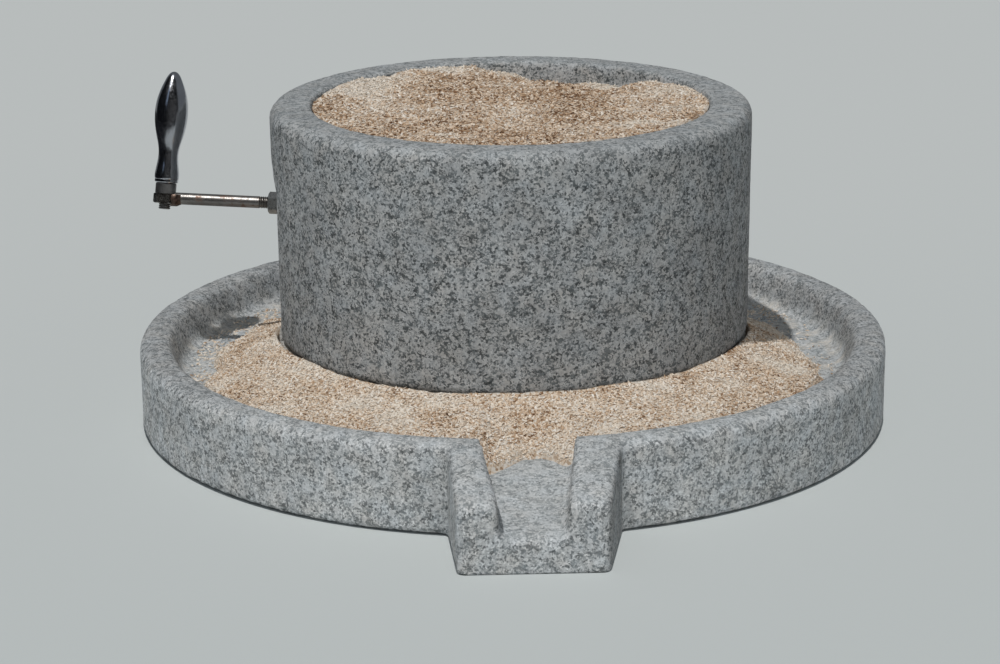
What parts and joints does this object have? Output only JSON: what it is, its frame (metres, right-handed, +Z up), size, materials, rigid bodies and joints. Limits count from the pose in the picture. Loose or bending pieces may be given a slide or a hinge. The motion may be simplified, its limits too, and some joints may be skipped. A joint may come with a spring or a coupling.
{
  "type": "hand grain mill",
  "caption": "Granite hand mill: a lipped tray with a pouring spout holds a bed stone, and a runner stone with a hopper turns on it by a steel crank.",
  "frame": {"origin": "on the mill's turning axis, on the plane that the tray stands on", "axes": "+Z up along the turning axis, -Y along the pouring spout"},
  "size_m": [0.5, 0.5585, 0.2249],
  "materials": {
    "tray_granite": "sawn and bush-hammered, light grey with black and white grains",
    "bed_granite": "dressed grinding face, dusted with flour",
    "runner_granite": "sawn and rubbed, mid grey with black and white grains",
    "lime_mortar": "matte lime and sand",
    "pin_steel": "turned and worn bright",
    "poured_lead": "dull poured metal",
    "washer_bronze": "oiled and worn",
    "bush_iron": "cast, bored smooth",
    "anchor_steel": "zinc grey",
    "anchor_resin": "set mineral-filled resin",
    "arm_steel": "drawn stainless, light brown stain near the weld",
    "nut_steel": "dull stainless",
    "weld_steel": "heat-tinted and rusted",
    "spindle_steel": "matte turned steel",
    "spring_steel": "dark oiled spring steel",
    "grip_steel": "polished, mirror-like",
    "liner_plastic": "natural acetal"
  },
  "bodies": {
    "base": {"tray": "tray_granite", "bedding_mortar": "lime_mortar", "bed_stone": "bed_granite", "pivot_pin": "pin_steel", "pin_lead": "poured_lead"},
    "thrust_ring": {"thrust_washer": "washer_bronze"},
    "runner": {"runner_stone": "runner_granite", "runner_bush": "bush_iron", "bush_lead": "poured_lead", "arm_anchor": "anchor_steel", "anchor_resin": "anchor_resin", "arm_lock_nut": "nut_steel", "crank_arm": "arm_steel", "eye_nut": "nut_steel", "eye_weld": "weld_steel", "handle_spindle": "spindle_steel", "grip_circlip": "spring_steel"},
    "grip": {"grip_shell": "grip_steel", "grip_ferrule": "grip_steel", "grip_liner": "liner_plastic"}
  },
  "joints": [
    {"name": "runner_spin", "type": "hinge", "parent": "base", "child": "thrust_ring", "pos_m": [0, 0, 0.06], "axis": [0, 0, 1], "continuous": true},
    {"name": "runner_lift", "type": "slide", "parent": "thrust_ring", "child": "runner", "axis": [0, 0, 1], "range_m": [0, 0.08]},
    {"name": "grip_spin", "type": "hinge", "parent": "runner", "child": "grip", "pos_m": [-0.23239, 0.02792, 0.14221], "axis": [0.1001, 0.2139, 0.9717], "continuous": true}
  ]
}
